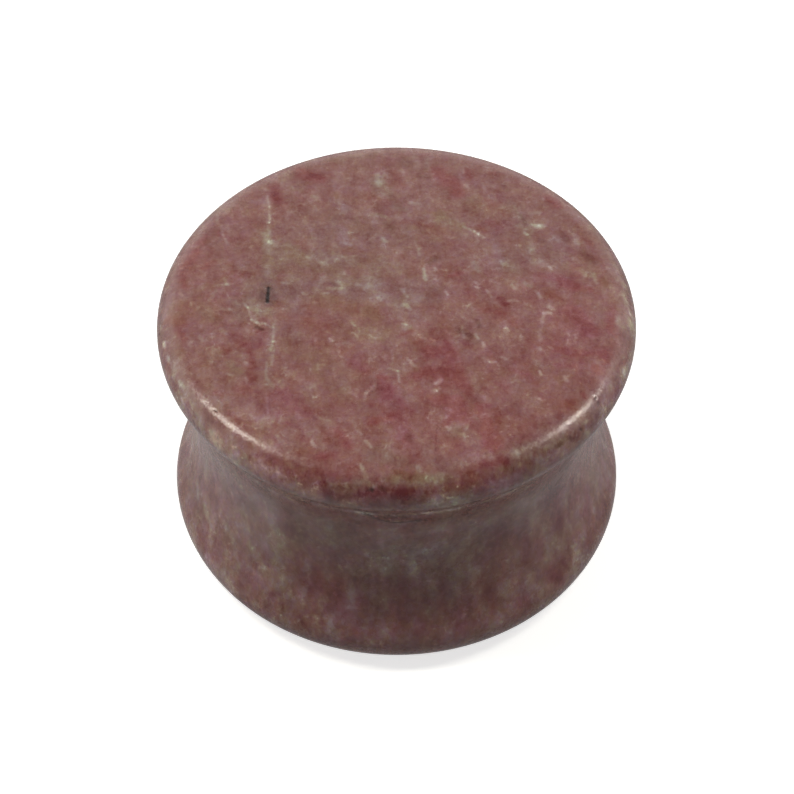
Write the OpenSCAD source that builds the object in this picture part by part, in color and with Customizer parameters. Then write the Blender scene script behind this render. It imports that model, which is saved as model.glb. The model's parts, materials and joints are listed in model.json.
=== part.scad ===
// Double-flared ear plug, cut and polished from one piece of stone.
// A solid turned about Z that stands on its lower end face, with the origin in the middle
// of that face. Between two flat ends its outline is three arcs, each running smoothly into
// the next: the lower lip, the hollow waist that the stretched lobe sits in, the upper lip.

/* [Fit] */
// Gauge: diameter at the narrowest part of the waist, which the lobe closes on
gauge_d = 22; // [14:0.5:32]
// How far each flare stands out past the waist, all the way round
flare_rise = 1.7; // [0.8:0.05:2.5]
// Overall length, from end face to end face
plug_len = 15.9; // [13:0.1:24]

/* [Lips] */
// Radius of the rounded edge round the upper face, which is the one that shows when worn
top_lip_r = 1.4; // [0.6:0.1:2.2]
// Radius of the rounded edge round the lower face, which goes through the ear first
bottom_lip_r = 2; // [0.6:0.1:2.8]

/* [Quality] */
// Facets round each full circle
facets = 144; // [48:8:256]

/* [Hidden] */
$fn = facets;

// How deep the waist arc bites into each lip arc, so that the two cross instead of only touching
seam_bite = 0.0005;

waist_r = gauge_d / 2;
flare_r = waist_r + flare_rise;

// Heights of the lip arcs' centres
top_lip_z = plug_len - top_lip_r;
bottom_lip_z = bottom_lip_r;

// The waist arc touches both lip arcs. These are the height of its centre, which is also
// the height of the narrowest point, and its radius.
waist_z = (top_lip_z + bottom_lip_z) / 2
        - flare_rise * (top_lip_r - bottom_lip_r) / (top_lip_z - bottom_lip_z);
waist_arc_r = (flare_rise ^ 2 + (top_lip_z - waist_z) ^ 2) / (2 * flare_rise) - top_lip_r;

// Height at which the waist arc runs into a lip arc
function join_z(lip_r, lip_z) =
    waist_z + (lip_z - waist_z) * waist_arc_r / (waist_arc_r + lip_r);

// Half section of a flare: a flat disc whose rim is one lip arc
module flare_section(lip_r, lip_z) {
    translate([0, lip_z - lip_r]) square([flare_r - lip_r, 2 * lip_r]);
    translate([flare_r - lip_r, lip_z]) circle(r = lip_r);
}

// Half section of the waist: a block between the two lips, hollowed by one wide arc
module waist_section() {
    low = join_z(bottom_lip_r, bottom_lip_z);
    high = join_z(top_lip_r, top_lip_z);
    arc_x = waist_r + waist_arc_r;
    difference() {
        translate([0, low]) square([arc_x, high - low]);
        translate([arc_x, waist_z]) circle(r = waist_arc_r + seam_bite);
    }
}

module stone_plug() {
    color("#8c5c58") rotate_extrude() {
        flare_section(top_lip_r, top_lip_z);
        waist_section();
        flare_section(bottom_lip_r, bottom_lip_z);
    }
}

stone_plug();
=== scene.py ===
"""A double flared ear plug of polished rhodonite, standing on a pale table.

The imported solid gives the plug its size. The plug is turned here once more as one fine mesh with
the stone's own flaws cut into it, and dressed in a procedural stone.
"""

import json
import logging
import math
from dataclasses import dataclass
from enum import Enum

import bmesh
import bpy
import numpy as np
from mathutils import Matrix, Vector, noise


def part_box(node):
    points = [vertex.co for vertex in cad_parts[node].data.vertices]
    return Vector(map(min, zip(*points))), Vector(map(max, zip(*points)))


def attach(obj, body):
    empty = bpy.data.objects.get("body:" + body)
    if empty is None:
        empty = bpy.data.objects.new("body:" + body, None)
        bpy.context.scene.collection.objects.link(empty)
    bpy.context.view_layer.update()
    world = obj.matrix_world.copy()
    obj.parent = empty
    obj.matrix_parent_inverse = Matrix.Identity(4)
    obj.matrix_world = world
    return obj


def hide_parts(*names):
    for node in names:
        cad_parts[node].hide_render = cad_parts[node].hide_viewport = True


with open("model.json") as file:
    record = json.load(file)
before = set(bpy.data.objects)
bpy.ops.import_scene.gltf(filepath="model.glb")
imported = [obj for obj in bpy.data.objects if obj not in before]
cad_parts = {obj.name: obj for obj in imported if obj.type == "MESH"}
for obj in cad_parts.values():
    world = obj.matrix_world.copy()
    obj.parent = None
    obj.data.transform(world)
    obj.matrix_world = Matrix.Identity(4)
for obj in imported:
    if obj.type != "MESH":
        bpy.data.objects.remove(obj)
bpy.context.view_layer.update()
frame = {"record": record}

LOG = logging.getLogger("ear_plug")
MM = 0.001
MERGE = 0.001 * MM
NODE = "stone_plug"
# The marks' values on the mesh's points; the first also holds painted light and shade on the side
CLOUDS_AND_LIGHT = "stone_clouds_and_painted_light"
BLACK = "stone_black"
# A mark is full at INSIDE times its half width, and gone at OUTSIDE times it
INSIDE, OUTSIDE = 0.3, 1.5
# Colour sockets of a Mix node: two inputs and the output
UNDER, OVER, BLENDED = 6, 7, 2


def linear(hex_colour: str) -> tuple[float, float, float, float]:
    """Turns an sRGB hex colour into a linear one.

    Args:
        hex_colour: Six hex digits, with or without a leading mark.

    Returns:
        Linear red, green, blue and an alpha of 1.
    """
    digits = hex_colour.lstrip("#")
    parts = [int(digits[i : i + 2], 16) / 255 for i in (0, 2, 4)]
    return *(p / 12.92 if p <= 0.04045 else ((p + 0.055) / 1.055) ** 2.4 for p in parts), 1.0


def add(
    tree: bpy.types.NodeTree, kind: str, inputs: dict[str | int, object] | None = None, **settings: object
) -> bpy.types.Node:
    """Adds a node with its settings, and fills its inputs.

    Args:
        tree: The node tree that gets the node.
        kind: The node's type name, without the leading "ShaderNode".
        inputs: Socket name or number to a value, to the output socket that feeds it, or to a
            node whose first output does.
        settings: The node's own properties.

    Returns:
        The new node.
    """
    node = tree.nodes.new("ShaderNode" + kind)
    for name, value in settings.items():
        setattr(node, name, value)
    for key, value in (inputs or {}).items():
        feed = value.outputs[0] if isinstance(value, bpy.types.Node) else value
        if isinstance(feed, bpy.types.NodeSocket):
            tree.links.new(feed, node.inputs[key])
        else:
            node.inputs[key].default_value = feed
    return node


@dataclass(frozen=True)
class PlugSizes:
    """The plug's outline in metres: two lip arcs, and a waist arc that touches both."""

    flare_r: float
    waist_r: float
    length: float
    top_lip_r: float = 1.4 * MM
    bottom_lip_r: float = 2.0 * MM

    @classmethod
    def from_frame(cls, record: dict) -> "PlugSizes":
        """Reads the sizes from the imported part.

        Args:
            record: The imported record, whose lobe seat gives the waist.

        Returns:
            The plug's sizes.
        """
        low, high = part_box(NODE)
        seat = next(m for m in record["mounts"] if m["name"] == "lobe_seat")
        return cls((high.x - low.x) / 2, seat["dims"]["r_mm"] * MM, high.z - low.z)

    @property
    def rise(self) -> float:
        """How far a flare stands out past the waist."""
        return self.flare_r - self.waist_r

    @property
    def top_lip(self) -> Vector:
        """Centre of the upper lip's arc, in the XZ plane."""
        return Vector((self.flare_r - self.top_lip_r, 0, self.length - self.top_lip_r))

    @property
    def bottom_lip(self) -> Vector:
        """Centre of the lower lip's arc, in the XZ plane."""
        return Vector((self.flare_r - self.bottom_lip_r, 0, self.bottom_lip_r))

    @property
    def waist(self) -> Vector:
        """Centre of the waist's arc, in the XZ plane."""
        high, low = self.top_lip.z, self.bottom_lip.z
        z = (high + low) / 2 - self.rise * (self.top_lip_r - self.bottom_lip_r) / (high - low)
        return Vector((self.waist_r + self.waist_arc_r, 0, z))

    @property
    def waist_arc_r(self) -> float:
        """Radius of the waist's arc, which touches both lip arcs."""
        high, low = self.top_lip.z, self.bottom_lip.z
        half = (high - low) / 2 + self.rise * (self.top_lip_r - self.bottom_lip_r) / (high - low)
        return (self.rise**2 + half**2) / (2 * self.rise) - self.top_lip_r

    def slope(self, lip: Vector) -> float:
        """Angle of the line from the waist arc's centre to a lip arc's centre.

        Args:
            lip: Centre of the lip's arc.

        Returns:
            The angle above or below the horizontal, in radians and always positive.
        """
        return math.asin(abs(lip.z - self.waist.z) / (lip - self.waist).length)

    def radius(self, z: float) -> float:
        """Radius of the side at a height.

        Args:
            z: Height above the lower face.

        Returns:
            Distance of the side from the axis.
        """
        ends = ((self.top_lip, self.top_lip_r, 1), (self.bottom_lip, self.bottom_lip_r, -1))
        for lip, lip_r, way in ends:
            if (z - lip.z) * way > -math.sin(self.slope(lip)) * lip_r:
                return lip.x + math.sqrt(max(lip_r**2 - (z - lip.z) ** 2, 0))
        return self.waist.x - math.sqrt(self.waist_arc_r**2 - (z - self.waist.z) ** 2)


@dataclass
class StonePlug:
    """The whole plug, one turned and polished piece of stone.

    A fine gap is the longest edge near narrow marks, the half width of the widest mark that gets
    it, and how far it reaches past the mark, in mm. The marks' edges wander with two sizes of
    waves, in mm, by a share of the mark's half width that is less for a fine mark.
    """

    sizes: PlugSizes
    turn_steps: int = 360
    face_gap: float = 0.2 * MM
    lip_gap: float = 0.13 * MM
    foot_gap: float = 0.5 * MM
    fine_gaps: tuple[tuple[float, float, float], ...] = ((0.10, 0.15, 0.12), (0.055, 0.11, 0.05))
    wide_wave: float = 1.3
    tight_wave: float = 0.3
    tight_share: float = 0.4
    fine_mark: float = 0.15
    fine_wander: float = 0.35
    broad_wander: float = 0.9
    most_wander: float = 0.25
    wander_seed: int = 7

    def outline(self, bm: bmesh.types.BMesh) -> None:
        """Draws half of the plug's section as edges, from the upper face's middle to the lower one's.

        Args:
            bm: The mesh that gets the edges.
        """
        sizes = self.sizes
        start = bm.verts.new(sizes.top_lip + Vector((0, 0, sizes.top_lip_r)))
        lean_high, lean_low = sizes.slope(sizes.top_lip), sizes.slope(sizes.bottom_lip)
        quarter = math.pi / 2
        arcs = (
            (sizes.top_lip, quarter + lean_high, sizes.top_lip_r, self.lip_gap),
            (sizes.waist, -lean_high - lean_low, sizes.waist_arc_r, self.face_gap),
            (sizes.bottom_lip, quarter + lean_low, sizes.bottom_lip_r, self.face_gap),
        )
        last = start
        for centre, angle, radius, gap in arcs:
            spun = bmesh.ops.spin(
                bm, geom=[last], cent=centre, axis=(0, 1, 0), angle=angle,
                steps=math.ceil(abs(angle) * radius / gap), use_duplicate=False,
            )
            last = next(v for v in spun["geom_last"] if isinstance(v, bmesh.types.BMVert))
        rims = (start.co.copy(), last.co.copy())
        for rim, gap in zip(rims, (self.face_gap, self.foot_gap)):
            bm.verts.ensure_lookup_table()
            outer = min(bm.verts, key=lambda v: (v.co - rim).length)
            spoke = bm.edges.new((outer, bm.verts.new((0, 0, rim.z))))
            bmesh.ops.subdivide_edges(bm, edges=[spoke], cuts=math.ceil(rim.x / gap) - 1)

    def refine(self, bm: bmesh.types.BMesh) -> None:
        """Makes the mesh finer round the marks that are narrower than its grid.

        Args:
            bm: The turned plug.
        """
        for gap, widest, reach in self.fine_gaps:
            places = np.array([v.co for v in bm.verts]) / MM
            near = np.zeros(len(places), dtype=bool)
            for mark in stone_marks_and_painted_light(self.sizes):
                if mark.half < widest:
                    near |= mark.away(places) < mark.half * OUTSIDE + reach
            bm.verts.index_update()
            edges = [
                e for e in bm.edges
                if near[e.verts[0].index] and near[e.verts[1].index] and e.calc_length() > gap * MM
            ]
            bmesh.ops.subdivide_edges(bm, edges=edges, cuts=1, use_grid_fill=True)

    def mark_stone(self, mesh: bpy.types.Mesh) -> None:
        """Stores what the marks do to the colour on the mesh's points, and carves the deep ones.

        Args:
            mesh: The plug's mesh.
        """
        places = np.empty(len(mesh.vertices) * 3)
        outward = np.empty(len(mesh.vertices) * 3)
        mesh.vertices.foreach_get("co", places)
        mesh.vertex_normals.foreach_get("vector", outward)
        places, outward = places.reshape(-1, 3) / MM, outward.reshape(-1, 3)
        noise.seed_set(self.wander_seed)
        wide = np.array([noise.noise_vector(Vector(p) / self.wide_wave) for p in places])
        tight = np.array([noise.noise_vector(Vector(p) / self.tight_wave) for p in places])
        bend = wide + self.tight_share * tight
        clouds_and_light = np.zeros_like(places)
        black, depth = np.zeros(len(places)), np.zeros(len(places))
        # Some rows of the side table paint light and shade rather than marks in the stone
        for mark in stone_marks_and_painted_light(self.sizes):
            wander = mark.half * (self.fine_wander if mark.half < self.fine_mark else self.broad_wander)
            cover = mark.cover(places + bend * min(wander, self.most_wander))
            clouds_and_light += cover[:, None] * (mark.veil, mark.hue, mark.tone)
            black = np.maximum(black, cover * mark.dark)
            depth = np.maximum(depth, cover * mark.depth)
        mesh.attributes.new(CLOUDS_AND_LIGHT, "FLOAT_VECTOR", "POINT").data.foreach_set("vector", clouds_and_light.ravel())
        mesh.attributes.new(BLACK, "FLOAT", "POINT").data.foreach_set("value", black)
        mesh.vertices.foreach_set("co", ((places - outward * depth[:, None]) * MM).ravel())

    def build(self) -> bpy.types.Object:
        """Turns the outline into the plug.

        Returns:
            The plug's object, at the origin.
        """
        bm = bmesh.new()
        self.outline(bm)
        bmesh.ops.spin(
            bm, geom=bm.verts[:] + bm.edges[:], cent=(0, 0, 0), axis=(0, 0, 1),
            angle=math.tau, steps=self.turn_steps, use_merge=True, use_duplicate=False,
        )
        bmesh.ops.remove_doubles(bm, verts=bm.verts[:], dist=MERGE)
        bmesh.ops.recalc_face_normals(bm, faces=bm.faces[:])
        self.refine(bm)
        for face in bm.faces:
            face.smooth = True
        mesh = bpy.data.meshes.new("ear_plug")
        bm.to_mesh(mesh)
        bm.free()
        self.mark_stone(mesh)
        plug = bpy.data.objects.new("ear_plug", mesh)
        bpy.context.scene.collection.objects.link(plug)
        return plug


@dataclass(frozen=True)
class Mark:
    """One streak or spot in the stone, between two points, all in mm.

    The veil is how much pale mineral it adds, or takes away where it is negative; on some rows of
    the side table it is painted light and shade instead, making the side lighter or darker. The hue
    runs from -1 for rose to 1 for grey green, the tone from -1 for mauve to 1 for tan, and dark from
    0 to 1 for black. The depth is how deep it is cut into the polish.
    """

    start: Vector
    end: Vector
    half: float
    veil: float
    hue: float
    tone: float = 0.0
    dark: float = 0.0
    depth: float = 0.0

    @classmethod
    def on_face(cls, row: tuple[float, ...], height: float) -> "Mark":
        """Lays a mark on the upper face.

        Args:
            row: X and Y of both ends, half width, veil, hue and perhaps tone, dark and depth.
            height: The face's height in mm.

        Returns:
            The mark.
        """
        x1, y1, x2, y2, *rest = row
        return cls(Vector((x1, y1, height)), Vector((x2, y2, height)), *rest)

    @classmethod
    def on_side(cls, row: tuple[float, ...], sizes: PlugSizes) -> "Mark":
        """Lays a mark on the lips or the waist.

        Args:
            row: Degrees from the front and height of both ends, then as on the face.
            sizes: The plug's sizes, for the radius at each height.

        Returns:
            The mark.
        """
        a1, z1, a2, z2, *rest = row
        ends = []
        for angle, z in ((math.radians(a1), z1), (math.radians(a2), z2)):
            r = sizes.radius(z * MM) / MM
            ends.append(Vector((r * math.sin(angle), -r * math.cos(angle), z)))
        return cls(*ends, *rest)

    def away(self, places: np.ndarray) -> np.ndarray:
        """Distance of each place from the line between the ends.

        Args:
            places: Places in mm, one in each row.

        Returns:
            Distance in mm for each place.
        """
        start, run = np.array(self.start), np.array(self.end - self.start)
        along = np.clip((places - start) @ run / max(run @ run, 1e-9), 0, 1)
        return np.linalg.norm(places - start - along[:, None] * run, axis=1)

    def cover(self, places: np.ndarray) -> np.ndarray:
        """How much of the mark each place has.

        Args:
            places: Places in mm, one in each row.

        Returns:
            From 0 well outside to 1 near the middle, for each place.
        """
        part = np.clip((OUTSIDE - self.away(places) / self.half) / (OUTSIDE - INSIDE), 0, 1)
        return part * part * (3 - 2 * part)


def stone_marks_and_painted_light(sizes: PlugSizes) -> list[Mark]:
    """Places all marks of both tables on the plug.

    Args:
        sizes: The plug's sizes.

    Returns:
        The marks, those of the upper face first.
    """
    marks = [Mark.on_face(row, sizes.length / MM) for row in FACE_MARKS]
    return marks + [Mark.on_side(row, sizes) for row in SIDE_MARKS]


FACE_MARKS = (
    # Pale vein that crosses the left third
    (-7.12, 7.81, -7.0, 7.01, 0.08, 0.2, 0.1), (-7.0, 7.01, -6.92, 5.75, 0.08, 0.22, 0.1),
    (-6.98, 5.75, -6.88, 4.82, 0.13, 0.2, 0.3), (-7.55, 5.06, -7.05, 4.82, 0.12, 0.16, 0.3),
    (-7.16, 4.9, -6.63, 3.98, 0.21, 0.11, 0.4), (-6.92, 4.36, -6.93, 3.45, 0.24, 0.1, 0.5),
    (-6.75, 4.13, -6.27, 4.44, 0.09, 0.12, 0.5), (-6.99, 3.45, -6.9, 2.69, 0.24, 0.12, 0.5),
    (-6.95, 2.54, -6.81, 1.8, 0.21, 0.1, 0.8), (-6.67, 3.68, -5.82, 3.75, 0.13, -0.1, 0.9, 0.3),
    (-7.16, 8.61, -6.96, 5.29, 0.24, 0.06, 0.2), (-6.95, 4.98, -6.85, 2.69, 0.37, 0.07, 0.7, 0.2),
    (-6.85, 2.69, -6.79, 1.21, 0.37, 0, 0.8), (-6.45, -1.83, -6.38, -3.52, 0.26, 0.07, 0.3),
    (-6.48, -3.65, -6.47, -6.11, 0.26, 0.07, 0.4), (-6.51, -6.38, -6.36, -8.75, 0.21, 0.05, 0),
    # Grey-green ground round the black inclusion
    (-6.08, 3.6, -5.03, 2.84, 0.42, 0.075, 1.12, 0.5), (-6.71, 1.95, -6.03, 2.24, 0.16, -0.12, 0.9, 0.4),
    (-6.95, 1.43, -6.6, 1.8, 0.16, -0.1, 1), (-6.1, 1.24, -5.72, 1.13, 0.09, 0.29, 0.2),
    (-4.83, 3.15, -4.72, 3.07, 0.1, 0.22, 0.2), (-4.96, 0.47, -4.88, 0.33, 0.09, 0.24, 0),
    (-7.07, 0.47, -7.04, -0.11, 0.19, -0.1, 1, 0, 0.25),
    (-6.55, 0.62, -6.47, 0.03, 0.19, -0.08, 0.6, -0.3, 0.2),
    (-8.19, -0.33, -7.26, -0.11, 0.32, 0.06, 0.6), (-7.44, -0.69, -6.58, -1.12, 0.32, 0.08, 0.7),
    (-6.02, 0.47, -5.29, -0.69, 0.53, 0.025, 0.5, -0.38), (-7.84, 0.03, -7.31, -1.26, 0.32, 0.08, 0.6),
    (-6.83, 1.06, -6.77, -0.33, 0.32, -0.06, 0.5, 0, 0.2),
    # Black inclusion, a slit in the polish
    (-6.77, 0.84, -6.79, 0.4, 0.1, -0.2, 0, 0, 0.95, 0.03),
    (-6.79, 0.4, -6.8, -0.18, 0.12, -0.2, 0, 0, 1, 0.04),
    # Pale wedge below it, and the fine line that runs on
    (-8.03, -0.33, -7.81, -0.62, 0.09, 0.2, 0.2), (-7.81, -0.62, -7.56, -1.48, 0.08, 0.2, 0.2),
    (-7.56, -1.51, -7.23, -1.69, 0.1, 0.22, 0.3), (-7.23, -1.69, -6.87, -1.76, 0.1, 0.24, 0.3),
    (-6.87, -1.76, -6.49, -2.04, 0.09, 0.19, 0.3),
    (-7.27, -1.97, -6.95, -2.19, 0.1, -0.2, 0.5, 0.3, 0.25),
    (-6.42, -1.83, -6.37, -3.03, 0.09, 0.22, 0.2), (-6.35, -3.03, -6.48, -3.65, 0.08, 0.14, 0.3),
    (-6.36, -4.0, -6.38, -4.62, 0.1, 0.22, 0.3), (-6.65, -4.48, -6.62, -5.57, 0.09, 0.19, 0.3),
    (-6.54, -5.71, -6.27, -6.18, 0.13, 0.15, 0.4), (-5.98, -5.71, -5.87, -6.11, 0.16, 0.12, 0.5, 0.5),
    (-5.72, -4.76, -5.39, -5.3, 0.21, 0.1, 0.2), (-5.83, -2.96, -5.55, -3.79, 0.19, 0.1, 0.3),
    (-6.52, -6.84, -6.42, -7.84, 0.08, 0.2, 0, -0.2), (-6.4, -7.84, -6.35, -9.01, 0.07, 0.068, 0),
    (-6.68, -8.23, -6.21, -7.7, 0.42, 0.075, -0.25, -0.38),
    # Pale streaks at the left
    (-9.59, 5.6, -9.43, 4.82, 0.08, 0.17, 0.2), (-9.43, 4.82, -9.12, 4.06, 0.09, 0.2, 0.2),
    (-9.58, 0.98, -8.9, 1.06, 0.12, 0.19, 0.4, 0.2), (-9.13, 1.5, -9.0, 1.06, 0.1, 0.22, 0.4, 0.2),
    (-9.88, -0.11, -9.51, 0.62, 0.12, 0.15, 0.4, 0.2), (-9.22, -0.69, -8.69, -0.76, 0.13, 0.24, 0.3),
    (-10.57, 0.76, -10.06, 1.06, 0.16, 0.08, 0.6, 0.5),
    # Rose at the left
    (-9.75, 4.75, -8.98, 4.52, 0.21, -0.06, -0.5, -0.4), (-10.3, 2.24, -9.8, 2.77, 0.26, -0.07, -0.5),
    (-8.88, 2.69, -8.53, 2.1, 0.26, -0.1, -0.2, 0.4), (-8.3, 1.8, -7.51, 1.87, 0.21, -0.14, -0.4, 0.1),
    (-9.56, 3.3, -9.38, 3.07, 0.13, -0.1, 0.1, 0.2), (-9.16, 0.18, -8.43, 0.33, 0.21, -0.03, -0.3, -0.4),
    (-8.96, -3.38, -8.74, -3.65, 0.19, -0.2, -0.4, 0.3), (-8.33, -2.61, -8.05, -3.1, 0.37, -0.1, -0.3),
    (-7.78, -3.31, -7.21, -3.31, 0.32, -0.08, -0.5, -0.4),
    (-7.5, -3.79, -7.35, -4.69, 0.26, -0.13, -0.5, 0.1),
    (-7.53, -5.23, -7.16, -5.57, 0.26, -0.14, -0.2, 0.4),
    (-8.08, -6.38, -7.57, -6.51, 0.37, -0.08, -0.5, 0.3), (-9.19, -6.38, -8.77, -6.58, 0.16, -0.12, -0.5),
    (-9.7, -4.69, -9.36, -5.16, 0.21, -0.08, -0.1, 0.4),
    # Pale bits and grey ground at the left
    (-10.72, -3.24, -10.53, -3.03, 0.1, 0.17, 0.1), (-10.19, -2.68, -10.02, -2.96, 0.13, 0.14, 0.3),
    (-9.14, -2.12, -8.86, -2.47, 0.13, 0.2, 0.3), (-7.84, -2.12, -7.67, -2.33, 0.12, 0.17, 0),
    (-8.42, -3.79, -7.84, -4.14, 0.21, 0.1, 0.2), (-7.77, -4.48, -7.61, -4.62, 0.1, 0.2, 0.1),
    (-8.65, -5.23, -8.34, -5.37, 0.09, 0.2, 0.3), (-7.67, -5.44, -7.6, -5.84, 0.08, 0.19, 0.3),
    (-8.59, -4.48, -8.04, -5.16, 0.32, 0.02, 0.7, 0.4), (-5.89, -9.39, -5.73, -9.71, 0.12, 0.15, 0.4),
    (-4.2, -9.71, -4.04, -9.97, 0.1, 0.29, 0, -0.1), (-5.0, -7.97, -4.84, -8.16, 0.12, 0.14, 0, -0.2),
    (-5.52, -8.55, -4.56, -9.14, 0.21, -0.09, -0.4, -0.2),
    (-4.95, -9.46, -4.35, -9.65, 0.21, -0.08, -0.4),
    # Pale patches near the back
    (-1.06, 9.59, -0.89, 8.77, 0.24, 0.26, 0.5), (-0.73, 9.83, -0.45, 9.42, 0.16, 0.26, 0.3, -0.2),
    (-1.17, 8.85, -0.67, 9.02, 0.19, 0.2, 0.6), (0.96, 11.07, 1.17, 10.08, 0.26, 0.14, 0.3, -0.2),
    (1.63, 10.9, 1.68, 10.16, 0.21, 0.08, 0.7), (0.33, 9.91, 0.39, 9.75, 0.12, 0.2, -0.1),
    (3.77, 8.77, 3.88, 8.61, 0.1, 0.22, -0.1), (3.64, 10.24, 3.74, 9.75, 0.09, 0.15, 0),
    (4.78, 8.85, 4.93, 8.29, 0.11, 0.19, 0.2), (5.19, 7.81, 5.51, 7.57, 0.16, 0.14, 0.5),
    (-5.77, 8.53, -5.31, 8.29, 0.16, 0.16, 0.5, 0.2), (-4.64, 7.89, -4.41, 7.73, 0.13, 0.16, 0.5, 0.3),
    # Mauve and pale bits behind the middle
    (-3.04, 5.29, -2.75, 4.21, 0.32, 0.08, 0.1, -0.8),
    (-3.53, 7.49, -2.8, 6.85, 0.42, 0.062, 0.38, -0.75), (-2.7, 4.13, -2.48, 4.02, 0.12, 0.29, 0, -0.6),
    (-0.76, 4.52, -0.6, 4.29, 0.11, 0.26, 0.5, 0.2), (-1.04, 6.38, -0.66, 6.22, 0.13, 0.16, 0.5, 0.2),
    (-0.55, 6.22, -0.33, 5.91, 0.12, 0.14, 0.2), (0.77, 7.33, 1.21, 7.17, 0.13, 0.12, 0.4),
    (0.22, 4.36, 0.49, 4.52, 0.12, 0.15, 0, 0.2), (-0.06, 7.01, 0.49, 6.7, 0.26, 0.04, 0.9),
    (1.18, 3.75, 1.29, 3.3, 0.12, 0.17, 0.6), (1.44, 2.24, 1.54, 1.43, 0.11, 0.26, 0.7, 0.1),
    (2.03, 2.32, 2.13, 2.17, 0.09, 0.32, 0.1), (2.02, 1.5, 2.17, 1.35, 0.09, 0.19, 0, -0.2),
    (-3.96, 2.69, -3.74, 2.54, 0.13, 0.14, 0.3), (-3.6, 0.76, -2.91, 0.76, 0.12, 0.2, 0.5, 0.2),
    (-3.08, 1.28, -2.75, 0.91, 0.16, 0.24, 0.4, 0.3), (-3.34, 1.13, -3.18, 0.91, 0.13, -0.1, 1, 0, 0.1),
    (-2.12, 1.06, -1.8, 0.84, 0.12, 0.15, 0.5, 0.3), (-1.59, 0.91, -0.69, 0.18, 0.21, 0.1, 0.3),
    (-0.95, 0.11, -0.84, -0.11, 0.12, 0.19, 0.1), (0.26, 0.69, 0.58, 0.18, 0.1, 0.2, 0.2, -0.1),
    (0.37, -0.11, 0.73, -0.76, 0.13, 0.22, 0.2, -0.1), (2.59, 0.54, 2.69, 0.33, 0.1, 0.24, 0),
    (2.75, 1.13, 3.01, 0.91, 0.16, 0.14, 0.1), (3.41, 2.24, 3.73, 2.1, 0.08, 0.19, 0.3, 0.2),
    (3.09, 1.87, 3.24, 1.65, 0.12, 0.22, -0.2, -0.3),
    # Dark and brown ground near the back
    (-6.69, 8.13, -6.5, 7.49, 0.19, -0.2, -0.5), (-6.88, 8.61, -6.15, 7.01, 0.32, -0.06, -0.5),
    (-5.37, 9.91, -4.34, 9.26, 0.42, -0.088, -1, 0.12),
    (0.22, 10.74, 0.62, 10.41, 0.32, -0.14, 0.1, 0.4, 0.1),
    (-0.22, 9.75, 0.33, 8.77, 0.21, -0.13, -0.3, 0.1),
    (1.28, 9.5, 1.89, 9.34, 0.16, -0.16, 0.1, 0.3, 0.1),
    (2.46, 9.91, 3.27, 8.29, 0.48, -0.088, -1.12, 0.12), (3.91, 9.91, 4.01, 9.42, 0.19, -0.1, -0.8),
    (-0.55, 5.75, -0.22, 5.37, 0.21, -0.14, 0.2, 0.5, 0.1), (-1.79, 5.13, -1.63, 4.67, 0.16, -0.1, 0.1),
    (-2.79, 6.22, -2.18, 5.91, 0.16, -0.08, 0.3), (0.22, 5.75, 1.96, 5.6, 0.21, -0.09, -0.4, -0.2),
    (-3.37, 8.13, -3.26, 7.73, 0.13, -0.12, 0.1, 0.7), (-2.1, 7.97, -1.33, 7.97, 0.19, -0.1, 0, 0.5),
    (-0.33, 7.81, 0.33, 7.25, 0.26, -0.08, 0.5, 0.3), (-5.05, 5.13, -4.83, 4.9, 0.21, -0.12, -0.2, 0.2),
    (5.21, 8.45, 5.76, 8.29, 0.19, -0.16, 0.1, 0.4),
    (5.94, 8.85, 6.32, 8.45, 0.19, -0.16, -0.1, 0.2, 0.1), (5.25, 9.75, 5.8, 9.59, 0.16, -0.1, -0.5),
    (1.82, 2.69, 2.14, 2.99, 0.19, -0.12, 0.6, 0.2, 0.1),
    # Ring and pale net at the right
    (5.82, 6.85, 6.1, 7.01, 0.08, 0.14, 0.3), (6.48, 6.93, 6.63, 6.54, 0.09, 0.14, 0.4, -0.2),
    (5.84, 6.07, 6.11, 5.91, 0.09, 0.12, 0.3), (5.7, 6.62, 5.74, 6.22, 0.09, 0.12, 0.3),
    (6.78, 6.38, 7.03, 5.68, 0.1, -0.13, 0.8, 0.1, 0.1), (6.59, 5.52, 6.96, 5.37, 0.16, 0.16, 0.5, -0.2),
    (6.94, 4.98, 7.1, 4.82, 0.1, 0.32, 0.5), (7.46, 5.6, 7.89, 5.44, 0.16, 0.36, 0.5),
    (7.34, 6.46, 7.89, 6.54, 0.12, 0.17, 0.4), (7.15, 4.75, 7.26, 3.6, 0.16, 0.14, 0.4),
    (7.26, 3.6, 7.38, 2.69, 0.21, 0.1, 0.4, 0.1), (8.5, 4.67, 8.65, 4.36, 0.21, 0.1, 0.3, -0.3),
    (7.71, 2.84, 7.96, 2.39, 0.21, 0.16, 0.1), (8.17, 2.39, 8.27, 2.21, 0.1, 0.31, 0, -0.5),
    (8.1, 5.29, 8.18, 4.67, 0.21, -0.13, -0.2, 0.4), (7.73, 4.44, 7.94, 4.21, 0.16, -0.12, 0, -0.2, 0.1),
    (8.9, 4.98, 9.19, 4.36, 0.21, -0.16, -0.2, 0.3, 0.1),
    # Speckled grey and mauve right of the middle
    (3.64, 5.44, 4.23, 5.06, 0.1, 0.22, 0.3, 0.2), (4.23, 5.06, 4.44, 4.82, 0.09, 0.32, 0),
    (4.44, 4.82, 4.76, 4.59, 0.09, 0.14, 0.1), (4.74, 3.75, 4.83, 3.3, 0.12, 0.15, 0.2, -0.2),
    (5.45, 3.98, 5.57, 2.84, 0.21, 0.06, 0.2, -0.5), (4.17, 2.69, 4.37, 1.95, 0.13, 0.12, 0.5),
    (4.14, 1.28, 4.34, 1.06, 0.09, 0.26, 0.2), (4.18, 0.91, 4.34, 0.84, 0.09, 0.37, 0),
    (4.75, 0.62, 5.0, 0.18, 0.09, 0.24, 0.1, 0.1), (5.57, 2.84, 5.72, 2.54, 0.1, 0.19, 0.4, 0.1),
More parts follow.
